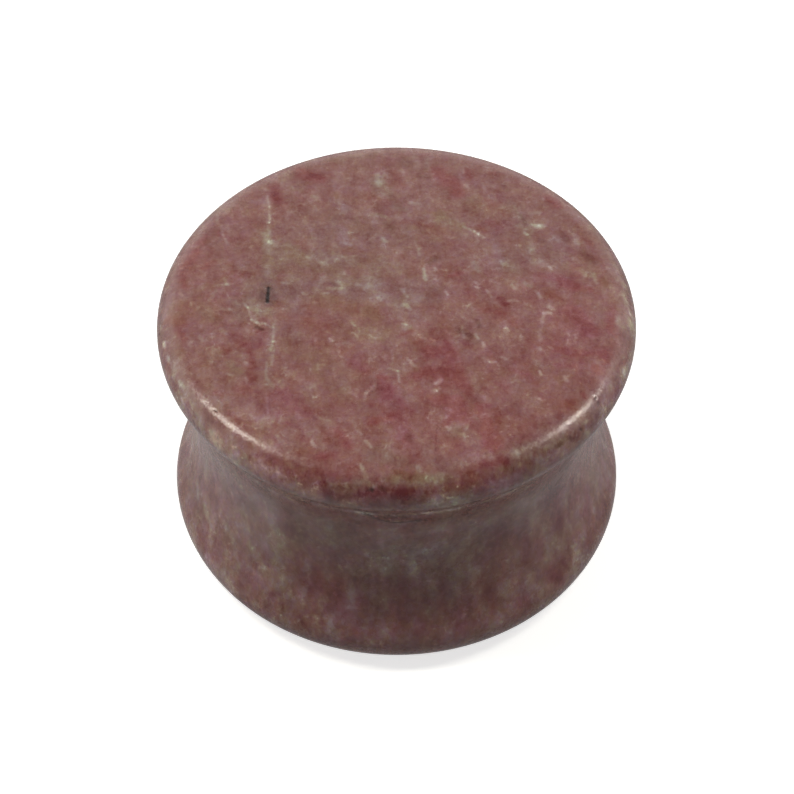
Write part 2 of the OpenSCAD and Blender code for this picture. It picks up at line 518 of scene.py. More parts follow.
    (6.09, 1.06, 6.24, 0.76, 0.09, 0.22, 0.4), (6.78, 1.21, 7.09, 0.91, 0.13, 0.12, 0.7),
    (7.34, 0.62, 7.58, 0.18, 0.09, 0.19, 0.4), (5.89, -0.11, 6.31, -0.11, 0.1, 0.24, 0.1),
    (5.01, 5.75, 5.66, 5.44, 0.32, -0.09, -0.5, -0.1), (4.46, 5.29, 4.77, 4.98, 0.19, -0.16, -0.4, 0.2),
    (5.9, 4.52, 5.98, 3.75, 0.26, -0.08, -0.5, 0.1), (5.47, 0.03, 5.72, -0.33, 0.21, -0.24, -0.6),
    (4.81, -0.83, 5.59, -0.98, 0.26, -0.05, -0.4), (3.7, 0.98, 4.1, -0.11, 0.26, -0.12, -0.4),
    (4.22, -1.55, 4.31, -1.97, 0.13, -0.2, 0.3, 0.3, 0.15),
    (2.38, 4.21, 3.45, 4.06, 0.32, -0.06, -0.3, 0.2), (2.87, 1.65, 3.41, 1.95, 0.16, -0.08, -0.6, -0.2),
    # Grey rim at the right
    (9.62, 4.36, 9.77, 4.13, 0.13, 0.26, 0.1, -0.3), (9.49, 2.99, 9.84, 2.69, 0.12, 0.17, 0.2, 0.1),
    (9.08, 3.45, 9.23, 3.15, 0.16, 0.14, 0.4, 0.2), (9.91, 2.1, 10.42, 1.65, 0.26, 0.12, 0.4, 0.1),
    (10.48, 1.8, 10.6, 1.21, 0.13, 0.2, 0.4, 0.4), (10.85, 0.91, 11.07, 0.33, 0.26, 0.12, 0, -0.1),
    (10.12, 4.52, 10.48, 4.21, 0.19, -0.14, -0.3, -0.2),
    (10.0, 3.45, 10.6, 2.84, 0.21, -0.14, 0.1, 0.1, 0.1), (10.94, 1.5, 11.12, 1.06, 0.19, -0.1, 0, 0.5),
    # Rose at the right
    (7.86, 0.47, 8.52, 0.03, 0.32, -0.1, -0.2, 0.6), (8.69, 1.13, 10.24, 0.62, 0.32, -0.05, -0.9),
    (7.44, 1.72, 8.71, 1.5, 0.32, -0.04, -0.7, -0.6),
    (9.1, -0.83, 10.06, -2.26, 0.48, -0.062, -0.88, -0.25),
    (8.43, -3.65, 10.05, -3.93, 0.26, -0.08, -0.8, -0.2),
    (8.12, -4.69, 8.98, -4.76, 0.21, -0.1, -0.7, -0.1), (6.05, -1.4, 6.08, -1.83, 0.21, -0.08, -0.5, 0.4),
    (6.7, -5.44, 6.98, -5.98, 0.26, -0.05, -0.4, -0.4), (5.91, -5.03, 6.41, -5.16, 0.21, -0.08, -0.4),
    (5.27, -5.84, 5.56, -6.24, 0.26, -0.07, -0.4, -0.2), (4.45, -6.11, 4.64, -6.51, 0.19, -0.12, -0.2),
    (4.11, -7.31, 4.71, -7.37, 0.16, -0.1, -0.5, -0.2), (4.9, -7.7, 5.08, -8.36, 0.21, -0.12, -0.3, 0.2),
    (5.8, -7.7, 7.17, -8.36, 0.37, -0.1, 0, -0.3), (4.2, -7.7, 4.46, -9.01, 0.32, 0.02, -0.8, 0.2),
    (4.15, -9.65, 4.88, -9.97, 0.32, 0, -0.7, 0.1),
    # Pale marks at the right
    (8.02, -0.54, 8.22, -0.76, 0.13, 0.26, 0.1, -0.1), (7.74, -0.98, 8.05, -1.05, 0.13, 0.24, 0.1),
    (7.68, -1.12, 7.6, -1.69, 0.12, 0.22, 0.1), (7.55, -1.69, 7.43, -2.96, 0.13, 0.14, 0.1, -0.3),
    (7.36, -3.45, 7.43, -3.59, 0.09, 0.29, 0.1, 0.1), (7.88, -3.38, 8.02, -3.52, 0.09, 0.27, 0),
    (5.71, -2.04, 5.81, -2.26, 0.09, 0.24, 0.2, 0.4), (4.09, -2.54, 4.21, -2.82, 0.1, 0.31, 0.1, -0.1),
    (4.44, -3.03, 4.53, -3.31, 0.1, 0.22, -0.1), (4.81, -4.41, 5.11, -4.45, 0.1, 0.32, 0),
    (4.45, -4.21, 4.7, -4.48, 0.13, 0.16, 0.2, -0.1), (5.43, -4.14, 5.68, -4.34, 0.12, 0.2, 0.2, 0.4),
    (9.21, -2.54, 9.3, -2.75, 0.09, 0.22, 0), (10.04, -2.61, 10.18, -2.75, 0.12, 0.19, -0.1),
    (9.4, -3.72, 9.49, -3.86, 0.09, 0.19, 0, 0.4), (7.16, -4.48, 7.4, -4.76, 0.16, 0.1, 0.4, -0.1),
    (7.28, -5.06, 7.35, -5.3, 0.09, 0.37, 0.1), (8.53, -5.44, 8.65, -5.71, 0.12, 0.37, -0.1, 0.1),
    (4.43, -6.78, 4.52, -7.11, 0.12, 0.19, -0.1), (7.19, -6.91, 7.34, -7.01, 0.09, 0.24, -0.4),
    (5.54, -8.1, 5.61, -8.23, 0.08, 0.2, 0.2, 0.2),
    # Healed crack near the middle, pale along its edge
    (-0.99, -5.3, -1.11, -6.04, 0.09, 0.1, 0, 0.1),
    (-1.11, -6.04, -1.51, -6.51, 0.11, 0.22, -0.1, 0.1, 0, 0.008),
    (-1.51, -6.51, -1.61, -7.04, 0.1, 0.19, 0, -0.1), (-0.41, -4.89, 0.05, -5.03, 0.09, 0.19, 0.2, 0.2),
    (0.08, -5.03, 0.15, -5.77, 0.08, 0.24, 0.2, 0, 0, 0.008),
    (-0.26, -3.65, -0.18, -4.21, 0.1, 0.15, 0, -0.1), (0.56, -4.21, 0.92, -4.69, 0.09, 0.22, 0.1, -0.1),
    (2.02, -5.91, 2.28, -5.64, 0.14, 0.36, 0.1), (1.82, -6.44, 2.12, -6.24, 0.13, 0.22, 0.1),
    (2.02, -6.18, 2.22, -6.44, 0.07, -0.12, 0, 0.3),
    # Pale bits left of the crack
    (0.31, -1.76, 0.52, -1.83, 0.09, 0.34, 0.6, 0.1), (0.21, -2.04, 0.73, -1.97, 0.19, 0.2, 0.7, 0.2),
    (-2.29, -1.69, -2.18, -1.9, 0.1, 0.15, 0.4, 0.2), (-3.79, -2.19, -3.52, -2.4, 0.12, 0.2, 0.3, 0.2),
    (-3.46, -2.82, -3.33, -2.99, 0.1, 0.37, 0.1, 0.2), (-4.24, -2.82, -4.13, -3.1, 0.09, 0.15, -0.1),
    (-2.73, -3.17, -2.37, -3.31, 0.16, 0.16, 0.3, 0.1),
    (-3.84, -8.23, -3.29, -8.42, 0.08, 0.19, 0.2, 0.4), (2.54, -2.33, 2.74, -2.47, 0.1, 0.22, -0.1),
    (1.76, -2.85, 1.96, -2.96, 0.09, 0.24, -0.4, 0.3), (3.38, -1.9, 3.51, -2.75, 0.09, 0.2, 0.1),
    (3.49, -1.33, 3.65, -1.55, 0.1, 0.17, 0.3),
    # Deep red in the middle
    (1.08, -2.96, 1.64, -4.07, 0.37, -0.1, -0.6, 0.1), (1.85, -3.79, 2.87, -3.79, 0.37, -0.11, -0.6),
    (1.48, -5.03, 2.49, -5.16, 0.37, -0.12, -0.5, 0.1),
    (2.5, -4.48, 3.05, -5.16, 0.37, -0.11, -0.6, -0.1), (0.81, -5.16, 1.12, -5.44, 0.21, -0.14, -0.6),
    (0.31, -3.31, 0.82, -3.1, 0.21, -0.08, -0.2), (0.31, -2.54, 0.83, -2.26, 0.13, -0.08, -0.4, 0.3),
    (3.24, -5.71, 3.74, -6.38, 0.32, -0.1, -0.7), (2.53, -3.1, 2.73, -3.45, 0.16, -0.1, -0.7, -0.3),
    (3.21, -2.26, 3.83, -2.61, 0.16, -0.16, 0.3, 0.2, 0.1),
    (3.51, -3.1, 3.71, -3.38, 0.19, -0.08, -0.4, -0.4), (2.22, -6.65, 2.52, -6.84, 0.16, -0.1, -0.1, 0.4),
    # Raspberry red in front of the crack
    (-0.92, -5.37, -0.2, -5.57, 0.16, -0.12, -0.5), (-0.66, -5.57, -0.5, -6.71, 0.37, -0.07, -0.8, -0.3),
    (-1.21, -7.24, -0.7, -7.57, 0.32, -0.09, -0.4), (-1.2, -8.36, -0.2, -8.1, 0.32, -0.08, -0.9, 0.2),
    (0.2, -7.04, 0.7, -7.7, 0.21, -0.06, -0.7, -0.3),
    (-2.35, -4.48, -1.53, -5.03, 0.32, -0.03, -0.6, -0.3), (-0.55, -9.33, 0.94, -9.91, 0.32, -0.07, -0.2),
    (0.54, -9.27, 0.69, -9.65, 0.16, -0.16, 0.1, 0.2, 0.1), (2.44, -8.62, 2.89, -8.1, 0.21, -0.09, -0.6),
    (1.91, -6.91, 3.02, -7.04, 0.32, -0.01, -0.8),
    # Pale and dark lines near the front
    (-1.53, -9.65, -1.28, -10.1, 0.1, 0.31, 0.2), (-2.14, -8.36, -1.78, -9.27, 0.12, 0.12, 0.2),
    (2.48, -8.75, 2.63, -8.88, 0.09, 0.26, -0.2), (3.64, -8.36, 3.48, -8.88, 0.07, 0.17, 0.2, 0.3),
    (3.32, -9.27, 3.36, -9.65, 0.1, 0.17, 0.3), (-0.39, -10.29, 0.2, -10.41, 0.32, 0.05, 0.2),
    (1.99, -8.62, 1.92, -10.29, 0.06, -0.14, -0.1, 0, 0, 0.006),
    # Crimson near the front
    (-3.68, -8.88, -3.36, -9.65, 0.21, -0.16, -0.4, 0.2),
    (-3.02, -9.14, -2.37, -10.03, 0.32, -0.02, -0.9, -0.1),
    (-3.83, -10.6, -3.24, -10.6, 0.32, -0.1, -0.8, -0.2),
    # Tan and brown drift
    (-4.0, -0.11, -1.36, -0.83, 0.53, -0.062, 0, 0.75), (2.41, 6.3, 3.21, 5.52, 0.53, 0.05, 0.62, 0.62),
    (-4.06, 2.47, -3.25, 1.95, 0.42, 0.025, 1.12, 0.38),
    (-4.15, -4.0, -3.09, -5.71, 0.74, 0.025, 0.5, 0.5),
    (-1.36, -0.83, -0.94, -1.4, 0.32, -0.02, 0.4, 0.9),
    (-2.65, -2.26, -0.57, -2.61, 0.63, 0.05, 0.38, 0.25), (-4.02, -3.1, -3.5, -3.38, 0.26, -0.09, 0, 0.5),
    (-3.08, -6.38, -2.56, -7.04, 0.32, -0.06, 0.2, 0.2),
    (-5.84, -6.71, -4.81, -7.7, 0.63, -0.037, -0.38, -0.38),
    # Pale, rose and olive ground a millimetre wide
    (-2.46, 2.69, -1.28, 1.95, 0.53, 0.15, 0.38), (0.31, -0.83, 1.46, -1.12, 0.53, 0.14, 0.5),
    (-9.89, -4.89, -9.52, -5.98, 0.48, 0.15, 0, 0.38), (-7.59, -7.97, -6.28, -8.36, 0.53, 0.12, 0),
    (4.63, -3.52, 4.8, -4.48, 0.48, 0.14, -0.12), (7.11, 3.9, 7.49, 2.69, 0.48, 0.12, 0),
    (-5.81, -2.12, -5.27, -2.96, 0.48, -0.18, 0.38), (-5.82, 0.91, -5.27, 0.33, 0.48, -0.14, 0.38, -0.25),
    (3.42, -2.12, 3.82, -2.82, 0.48, -0.14, 0.38, -0.25), (-8.58, 7.17, -7.9, 6.7, 0.48, 0.11, 0, 0.38),
    (-2.08, -9.14, -1.77, -10.03, 0.48, 0.12, 0), (3.17, -9.14, 3.85, -9.65, 0.53, 0.11, 1.25),
    (-0.98, -10.54, 0.29, -11.05, 0.53, -0.075, 1), (0.1, -6.91, 2.2, -8.1, 0.63, 0.075, 0.25),
    (6.91, -0.83, 7.45, -2.54, 0.48, 0.1, 0.25, 0.38), (9.5, 2.39, 9.79, 1.8, 0.42, 0.11, -0.25),
    (-8.33, 2.39, -7.76, 1.65, 0.42, -0.088, 0.38), (0.11, 5.6, 0.43, 4.82, 0.42, -0.1, 0),
    (-1.22, 9.1, -0.67, 8.29, 0.48, 0.062, 1, 0.25), (-4.34, -6.38, -4.02, -7.04, 0.48, 0.088, 0.38),
    (-5.45, -9.27, -5.04, -9.78, 0.42, 0.1, 0.25), (6.16, 7.17, 7.28, 5.29, 0.53, 0.075, 0.62),
    (9.04, -3.65, 10.45, -4.21, 0.48, 0.088, 0), (1.03, -3.52, 1.54, -4.21, 0.42, -0.088, 0),
    (-6.83, 2.24, -5.59, 3.45, 0.48, 0.05, 0.88), (-4.44, 0.76, 2.32, 0.33, 0.63, -0.025, 0, -0.5),
    (-3.36, -5.03, -2.74, -5.84, 0.48, -0.025, 0, -0.75), (-10.37, -2.26, -9.83, -2.68, 0.42, 0.088, 0),
    (-8.82, -2.26, -7.65, -2.68, 0.42, -0.075, 0), (-1.22, -5.03, -0.61, -5.57, 0.42, 0.11, 0),
    # Patches a few millimetres wide
    (-4.61, 3.15, -2.73, 2.69, 0.58, 0.062, 0.62, 0.12), (-1.93, 2.99, -0.05, 2.24, 0.58, 0.062, 0.62),
    (-3.24, 1.5, -1.11, 1.21, 0.48, 0.088, 0.5), (-0.0, -0.26, 1.47, 0.03, 0.48, 0.1, 0.38),
    (-7.09, 0.91, 1.27, 0.76, 1.06, 0.025, 0.75), (-6.49, 2.99, -3.53, 2.69, 0.74, 0.025, 0.62),
    (-7.53, -7.31, -6.68, -8.36, 0.48, 0.11, 0), (-0.2, -5.3, 0.2, -6.38, 0.42, 0.075, -0.12),
    (2.17, -10.03, 3.56, -9.65, 0.42, 0.062, -0.25), (-6.82, -5.16, -6.8, -5.71, 0.37, 0.04, 0.2),
    (2.27, -2.96, 2.86, -4.48, 0.69, -0.05, -0.5), (1.48, -5.16, 3.5, -5.84, 0.53, -0.037, -0.5, -0.12),
    (4.67, -0.47, 5.16, -1.4, 0.48, -0.013, -0.25, 0.12), (6.37, -3.79, 6.51, -5.16, 0.48, -0.037, -0.38),
    (4.57, -8.88, 4.94, -9.52, 0.53, -0.062, -0.62, 0.12),
    (-4.68, -1.83, -3.42, -2.26, 0.42, -0.062, -0.25, 0.5),
    (-2.92, -6.65, -2.51, -7.18, 0.42, -0.062, 0, 0.25), (-7.03, 7.01, -8.0, 6.54, 0.42, 0.062, 0, 0.38),
    (-0.3, -6.51, 0.2, -9.01, 0.53, -0.013, -0.5, -0.5), (2.96, -7.31, 3.65, -9.65, 0.48, 0, -0.62, 0.12),
    (0.79, -10.03, 2.17, -10.16, 0.48, 0.062, 0, 0.12),
    (-2.85, -5.16, -2.23, -5.71, 0.48, 0.037, -0.12, 0.25),
    (-8.62, -0.11, -8.14, -1.26, 0.42, 0.062, 0.62), (-10.0, -0.83, -9.7, -1.4, 0.42, -0.025, 0.5, 0.62),
    (-7.05, -2.26, -6.91, -3.1, 0.32, -0.06, -0.3), (-5.49, 7.01, -4.71, 6.38, 0.48, -0.037, 0.12, 0.12),
    (1.31, 5.44, 2.39, 4.98, 0.48, -0.037, -0.12, 0.5), (4.08, 7.49, 4.6, 6.38, 0.53, -0.025, 0.38, 0.62),
    (5.99, 2.69, 6.6, 1.95, 0.42, 0.062, 0.38, 0.12), (8.56, 2.69, 9.39, 2.24, 0.42, 0.05, 0.12, 0.25),
    # Broad drift of grey at the back and rose at the right
    (-5.19, 4.36, 0.22, 5.52, 2.12, 0.013, 0.44, -0.12), (3.98, 3.6, 7.76, 3.98, 1.8, 0.013, 0.38, -0.25),
    (8.54, -1.55, 9.67, -4.34, 1.9, 0, -0.44, -0.12), (1.71, -7.04, 4.18, -8.36, 1.8, 0, -0.38),
)

SIDE_MARKS = (
    # Marks of the face that run on over the upper lip
    (-140.6, 15.89, -137.6, 15.9, 0.09, 0.14, 0.1), (-123.4, 15.82, -120.3, 15.9, 0.1, 0.26, 0.3),
    (-92.2, 15.89, -91.3, 15.9, 0.1, 0.2, -0.2, 0.4), (-127.3, 15.89, -126.4, 15.9, 0.32, 0.05, 0.2, 0.4),
    (-111.0, 15.89, -114.6, 15.9, 0.21, -0.06, -0.8, -0.1),
    (-103.8, 15.89, -107.1, 15.9, 0.32, -0.03, -0.9, 0.1),
    (-102.2, 15.8, -94.3, 15.9, 0.21, -0.09, -0.7, 0.2),
    (-78.8, 15.88, -76.2, 15.9, 0.26, -0.07, -0.7, 0.2),
    (-83.8, 15.78, -81.2, 15.9, 0.32, -0.05, -0.5, 0.6), (-46.3, 15.89, -43.4, 15.89, 0.21, -0.1, -0.4),
    (-78.1, 15.32, -76.6, 15.41, 0.12, 0.26, 0.2), (-74.5, 15.37, -72.2, 15.43, 0.13, 0.29, 0.3, 0.2),
    (-64.5, 15.45, -62.2, 15.53, 0.16, 0.3, 0.2, 0.1), (-59.9, 15.67, -56.1, 15.75, 0.26, 0.1, 0.3),
    (-76.3, 15.75, -66.3, 15.49, 0.37, 0.05, 0.1, 0.2), (-29.0, 15.89, -26.7, 15.86, 0.19, 0.1, 0.2),
    (-39.9, 15.89, -34.6, 15.85, 0.42, 0.062, -0.12, 0.25),
    (132.7, 15.89, 127.6, 15.89, 0.26, -0.09, -1, 0.1), (94.6, 15.89, 93.4, 15.82, 0.16, 0.16, 0.1, 0.4),
    (93.3, 15.66, 89.3, 15.64, 0.16, 0.16, 0.4, 0.4), (83.3, 15.85, 80.8, 15.7, 0.21, 0.2, 0.3, 0.3),
    (85.5, 15.9, 78.6, 15.89, 0.37, -0.03, -0.7), (70.1, 15.9, 68.1, 15.87, 0.21, -0.07, -0.9, -0.1),
    (64.8, 15.9, 64.4, 15.89, 0.26, -0.03, -1, 0.5), (55.0, 15.89, 54.9, 15.84, 0.19, -0.06, -1),
    (49.5, 15.9, 49.6, 15.88, 0.32, -0.11, -0.3, 0.5), (25.7, 15.81, 26.7, 15.69, 0.21, -0.18, -0.5),
    (19.7, 15.77, 25.1, 15.7, 0.21, -0.1, -0.5), (75.6, 15.8, 74.6, 15.75, 0.12, 0.19, -0.3, -0.2),
    (57.6, 15.9, 56.3, 15.87, 0.13, 0.15, 0.1, -0.2), (68.1, 15.9, 66.8, 15.71, 0.37, 0.09, 0.1, 0.1),
    (22.5, 15.9, 23.3, 15.85, 0.21, 0.14, 0.2, 0.2), (-9.0, 15.9, -8.3, 15.88, 0.09, 0.21, 0.2, 0.1),
    (5.1, 15.9, 5.4, 15.88, 0.13, 0.17, 0.8), (15.1, 15.9, 17.4, 15.89, 0.32, 0.08, 0.4, 0.1),
    (10.2, 15.9, 12.3, 15.89, 0.37, -0.04, 0.6, -0.1),
    (-121.9, 15.48, -129.1, 15.81, 0.42, 0.075, 0.12, 0.38),
    (-139.2, 15.89, -151.2, 15.9, 0.37, 0.06, 0.2, 0.3),
    (-161.0, 15.89, -172.5, 15.9, 0.37, 0.04, 0.3, 0.3),
    (-109.7, 15.32, -113.4, 15.57, 0.37, 0.03, -0.3, 0.2),
    (-73.0, 15.73, -63.6, 15.74, 0.42, 0.075, 0.25, 0.38),
    (-89.6, 15.87, -82.9, 15.89, 0.37, 0.02, 0, 0.5), (-19.9, 15.66, -11.1, 15.85, 0.37, -0.12, -0.7),
    (0.9, 15.82, 5.7, 15.77, 0.19, -0.16, 0.5, 0.7), (63.5, 15.9, 61.4, 15.75, 0.48, 0.15, 0),
    (30.9, 15.9, 35.9, 15.8, 0.53, -0.1, 0.25, -0.38),
    (39.6, 15.9, 44.2, 15.88, 0.53, -0.088, 0.38, -0.38),
    (48.6, 15.9, 51.0, 15.77, 0.53, -0.075, -0.25, 0.38), (96.9, 15.9, 90.2, 15.89, 0.37, 0.07, 0.2, 0.4),
    (-36.1, 15.79, -30.8, 15.85, 0.42, 0.088, 0, 0.12), (118.1, 15.85, 109.8, 15.84, 0.42, -0.05, 0, 0.5),
    (-104.5, 15.89, -97.4, 15.9, 1.16, 0, -0.31, 0.12),
    # Cream band, deep red band and dark pit on the front of the lip
    (-8.0, 15.56, -5.5, 15.56, 0.19, 0.16, 0.6, 0.1), (-2.3, 15.7, 0.5, 15.7, 0.21, 0.14, 0.7, 0.2),
    (0.5, 15.7, 13.1, 15.65, 0.26, 0.14, 0.7, 0.3), (-10.2, 15.64, -8.8, 15.64, 0.16, 0.08, 0.8),
    (-13.2, 15.41, -9.1, 15.44, 0.21, -0.14, 0.7, 0.6), (-4.5, 15.23, 16.8, 15.15, 0.32, -0.18, -0.3),
    (-16.6, 14.82, -8.0, 15.02, 0.26, -0.16, -0.2),
    (-5.6, 15.36, -5.6, 15.36, 0.11, -0.1, 0.3, 0, 0.85, 0.06),
    (-3.6, 15.48, -2.7, 15.41, 0.13, -0.1, 0.4, 0.4, 0.2),
    (-17.5, 15.41, -12.8, 15.42, 0.26, 0.02, -0.2, 0.3), (-8.5, 15.9, -7.0, 15.66, 0.13, 0.22, 0.4, 0.3),
    (11.4, 14.83, 11.8, 14.8, 0.06, 0.6, 0.2), (-16.0, 14.87, -8.0, 14.97, 0.21, -0.12, -0.1),
    (-8.0, 14.91, 9.8, 14.8, 0.21, -0.14, -0.1), (9.8, 14.86, 19.0, 14.79, 0.21, -0.12, -0.1),
    (19.0, 14.85, 28.9, 14.71, 0.21, -0.08, -0.1),
    # Red, then olive-brown with pale spots, on the right of the lip
    (13.9, 15.59, 21.0, 15.62, 0.42, -0.13, -0.3), (22.3, 15.77, 28.0, 15.74, 0.32, -0.1, -0.3),
    (21.0, 15.49, 26.9, 15.4, 0.26, -0.12, 0.3, 0.4), (29.3, 15.71, 41.6, 15.49, 0.37, 0.04, 1, 0.5),
    (29.4, 15.82, 30.3, 15.75, 0.14, 0.22, 0.3), (31.3, 15.54, 32.7, 15.53, 0.16, 0.2, 0.6, 0.3),
    (37.0, 15.52, 38.2, 15.51, 0.16, 0.24, 0.6, 0.2), (34.8, 15.49, 36.0, 15.48, 0.16, -0.16, 0.2, 0.5),
    (43.8, 15.27, 43.8, 15.27, 0.16, -0.3, 0.3, 0, 0.3),
    (39.7, 15.32, 40.9, 15.29, 0.13, -0.2, 0.4, 0.3, 0.15),
    (45.6, 15.19, 55.4, 15.19, 0.32, -0.2, 0, 0.4), (49.0, 15.34, 50.3, 15.37, 0.13, 0.16, 0.4, 0.3),
    (47.6, 15.26, 47.8, 15.19, 0.07, -0.2, 0.2, 0, 0.5, 0.02),
    (56.3, 15.66, 56.3, 15.64, 0.07, -0.2, 0.2, 0, 0.5, 0.02),
    (56.2, 15.5, 56.2, 15.47, 0.07, -0.2, 0.2, 0, 0.5, 0.02),
    (24.5, 15.46, 34.7, 15.19, 0.21, 0.03, 0.4, 0.3),
    # Tan and rose by turns round the right rim
    (64.7, 15.79, 62.1, 15.39, 0.32, 0.14, -0.1, 0.2), (73.2, 15.59, 76.9, 15.42, 0.26, 0.12, -0.2, 0.3),
    (80.5, 15.62, 87.4, 15.46, 0.26, 0.17, 0, 0.4), (91.9, 15.68, 89.0, 15.55, 0.21, 0.2, 0.1, 0.4),
    (101.7, 15.7, 96.1, 15.66, 0.26, 0.15, 0, 0.4), (109.1, 15.77, 103.8, 15.75, 0.26, 0.06, 0.2, 0.6),
    (68.2, 15.52, 71.2, 15.36, 0.21, -0.12, -0.5, 0.2), (60.1, 15.13, 63.6, 15.14, 0.26, -0.1, -0.3, 0.3),
    (118.0, 15.72, 112.2, 15.75, 0.26, 0.06, 0.2, 0.6), (130.0, 15.8, 124.2, 15.8, 0.26, 0.02, -0.4, 0.3),
    (85.4, 15.46, 80.1, 15.32, 0.16, 0.1, 0.4, 0.6),
    # Brown, salmon and pale spots on the left of the lip
    (-51.1, 15.63, -45.0, 15.5, 0.37, -0.2, -0.2, 0.3),
    (-43.5, 15.39, -38.3, 15.45, 0.26, 0.05, -0.2, 0.2),
    (-36.0, 15.48, -22.7, 15.56, 0.42, -0.02, -0.2, 0.2),
    (-31.9, 15.16, -31.3, 15.16, 0.16, 0.22, 0.5, 0.3), (-28.2, 15.23, -27.4, 15.2, 0.16, 0.18, 0.5, 0.3),
    (-37.0, 15.16, -35.3, 15.19, 0.16, -0.14, 0.2, 0.4),
    (-25.9, 15.6, -24.8, 15.59, 0.13, 0.16, 0.3, 0.5),
    (-22.1, 15.18, -15.0, 15.22, 0.26, -0.12, 0.1, 0.3),
    (-31.0, 14.74, -24.4, 14.91, 0.21, -0.08, 0, 0.1), (-77.2, 15.43, -76.4, 15.39, 0.16, 0.34, 0.2),
    (-73.2, 15.36, -71.7, 15.4, 0.16, 0.34, 0.2), (-63.6, 15.42, -62.5, 15.44, 0.16, 0.24, 0.1),
    (-86.0, 15.32, -80.6, 15.34, 0.21, 0.06, 0.4, 0.5), (-67.8, 15.36, -63.7, 15.35, 0.26, 0.1, 0.1, 0.3),
    (-60.0, 15.48, -56.2, 15.5, 0.26, 0.1, 0.2, 0.3), (-93.5, 15.3, -88.8, 15.29, 0.21, 0.04, 0.1, 0.5),
    (-70.3, 15.28, -67.4, 15.31, 0.16, -0.1, -0.4, 0.3),
    (-49.9, 15.78, -49.6, 15.79, 0.06, -0.2, 0.3, 0, 0.4, 0.02),
    # Thin dark line under the lip, cut a little into the polish along its middle
    (-9.3, 13.88, -5.6, 12.21, 0.06, -0.15, 0.3, 0, 0.7, 0.05),
    (-5.6, 12.21, -1.8, 11.7, 0.06, -0.15, 0.3, 0, 0.9, 0.06),
    (-1.8, 11.7, 2.2, 11.69, 0.06, -0.15, 0.3, 0, 0.9, 0.06),
    (2.2, 11.69, 6.2, 11.93, 0.06, -0.15, 0.3, 0, 0.7, 0.05),
    (6.2, 11.93, 13.7, 11.69, 0.11, -0.1, 0.2, 0, 0.15),
    (-15.1, 13.79, -9.3, 13.88, 0.11, -0.1, 0.2, 0, 0.15),
    # Pale smudges down the flank
    (-73.0, 4.81, -69.4, 4.17, 0.16, 0.22, 0.6), (-80.3, 3.98, -76.1, 3.81, 0.16, 0.14, 0.5),
    (-64.8, 4.59, -57.6, 3.79, 0.21, 0.16, 0.5), (-55.8, 5.16, -49.8, 4.75, 0.21, 0.16, 0.4),
    (-61.4, 5.62, -57.5, 5.45, 0.16, 0.14, 0.5), (-50.6, 4.97, -44.8, 3.34, 0.26, 0.16, 0.6),
    (-35.1, 6.13, -31.2, 4.53, 0.32, 0.06, 0.2), (-36.6, 5.73, -34.7, 5.06, 0.26, 0.08, 0.3),
    (-38.7, 4.98, -37.0, 4.2, 0.16, 0.18, 0.3), (-43.9, 5.66, -41.8, 5.11, 0.16, 0.12, 0.5),
    (-29.2, 4.11, -26.8, 3.5, 0.21, 0.14, 0.2), (-20.8, 4.43, -19.2, 3.71, 0.21, 0.08, 0.2),
    (45.5, 6.14, 44.6, 4.44, 0.26, 0.2, 0.4), (34.4, 6.21, 34.6, 5.35, 0.21, 0.24, 0.4),
    (54.5, 5.99, 54.5, 4.53, 0.21, 0.16, 0.2), (-17.6, 10.28, -17.9, 8.3, 0.32, 0.1, 0.9),
    (5.1, 8.99, 9.3, 7.55, 0.42, 0.07, 0.6), (20.5, 6.88, 20.9, 5.77, 0.26, 0.12, 0.4),
    (-13.1, 6.91, -12.0, 6.38, 0.16, 0.1, 0.4), (-8.2, 7.43, -7.1, 6.85, 0.16, 0.12, 0.4),
    (25.9, 9.82, 27.5, 7.8, 0.21, 0.12, 0.3), (37.0, 4.2, 36.4, 3.37, 0.21, 0.12, 0.1),
    (67.8, 4.36, 65.6, 3.33, 0.21, 0.12, 0.3), (54.4, 3.46, 54.7, 2.61, 0.21, 0.12, 0.1),
    (30.1, 4.65, 30.0, 3.68, 0.21, 0.08, 0.2), (14.2, 8.3, 14.8, 6.82, 0.21, 0.08, 0.5),
    (-28.3, 8.55, -27.2, 7.34, 0.21, 0.1, 0.6),
    # Red smudges down the flank
    (-62.0, 4.03, -56.2, 3.69, 0.21, -0.2, -0.3), (-42.8, 3.67, -37.7, 3.34, 0.42, -0.16, -0.3),
    (51.4, 7.34, 51.6, 5.61, 0.26, -0.2, -0.6, -0.5), (61.6, 4.47, 59.7, 2.93, 0.42, -0.14, -0.5),
    (42.7, 3.8, 45.7, 2.78, 0.42, -0.14, -0.3), (-27.1, 6.65, -25.0, 5.11, 0.32, -0.16, -0.4, -0.2),
    (-5.4, 6.89, -4.7, 4.38, 0.16, -0.2, 0), (2.4, 7.72, 3.1, 4.89, 0.21, -0.16, -0.3, -0.3),
    (-75.2, 3.86, -70.7, 3.46, 0.21, -0.14, -0.1), (11.9, 6.31, 12.3, 4.34, 0.32, -0.16, -0.3, -0.3),
    (25.4, 4.45, 27.3, 3.4, 0.42, -0.14, -0.3), (-51.2, 3.98, -48.4, 3.51, 0.16, -0.16, -0.2),
    (-42.1, 4.8, -39.8, 4.19, 0.16, -0.12, -0.2), (-22.2, 6.3, -20.4, 4.82, 0.26, -0.14, -0.4, -0.2),
    (-16.4, 6.14, -14.8, 4.54, 0.26, -0.14, -0.4, -0.3),
    (18.2, 5.48, 18.3, 3.99, 0.26, -0.12, -0.4, -0.2), (-2.2, 6.35, -1.3, 4.66, 0.21, -0.14, -0.4, -0.3),
    (37.8, 8.11, 38.9, 6.07, 0.21, -0.12, -0.2, -0.2), (-33.7, 3.66, -30.7, 3.27, 0.26, -0.12, -0.2),
